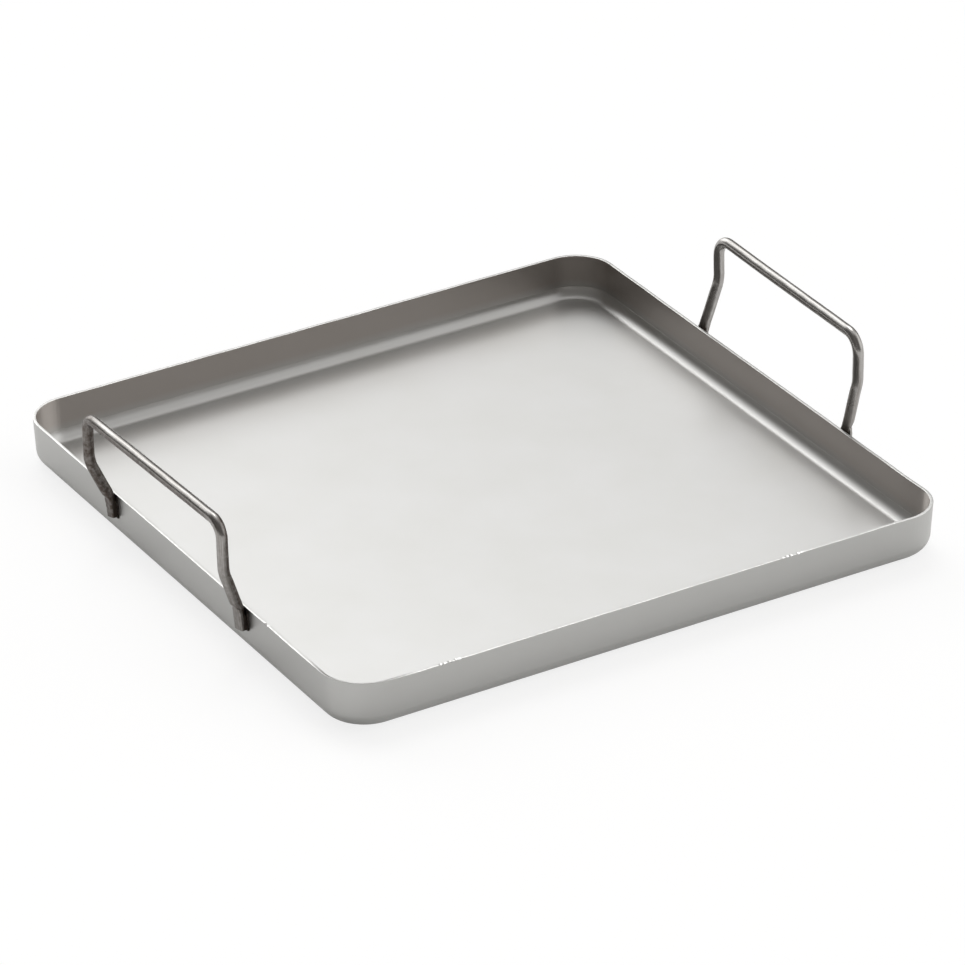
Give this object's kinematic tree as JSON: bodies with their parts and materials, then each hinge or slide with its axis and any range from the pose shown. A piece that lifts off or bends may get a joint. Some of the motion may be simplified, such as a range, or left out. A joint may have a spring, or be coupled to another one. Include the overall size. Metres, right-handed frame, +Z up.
{
  "type": "roasting pan",
  "caption": "Shallow square roasting pan pressed from bare steel sheet, with rounded corners and an upright bent-wire handle welded to each of two opposite walls.",
  "frame": {"origin": "middle of the pan's underside, on the surface that the pan stands on", "axes": "+X from the left handle to the right handle, +Y to the rear wall, +Z up out of the pan"},
  "size_m": [0.3942, 0.36, 0.0804],
  "materials": {
    "blasted_steel": "bare steel sheet, bead-blasted to a fine satin grain",
    "drawn_wire_steel": "bare drawn wire, dull gray-brown with fine lengthwise scratches",
    "weld_steel": "bare weld metal, dark from the heat"
  },
  "bodies": {
    "root": {"pan": "blasted_steel", "handle_left": "drawn_wire_steel", "handle_right": "drawn_wire_steel", "weld_left_rear": "weld_steel", "weld_left_front": "weld_steel", "weld_right_rear": "weld_steel", "weld_right_front": "weld_steel"}
  },
  "joints": []
}
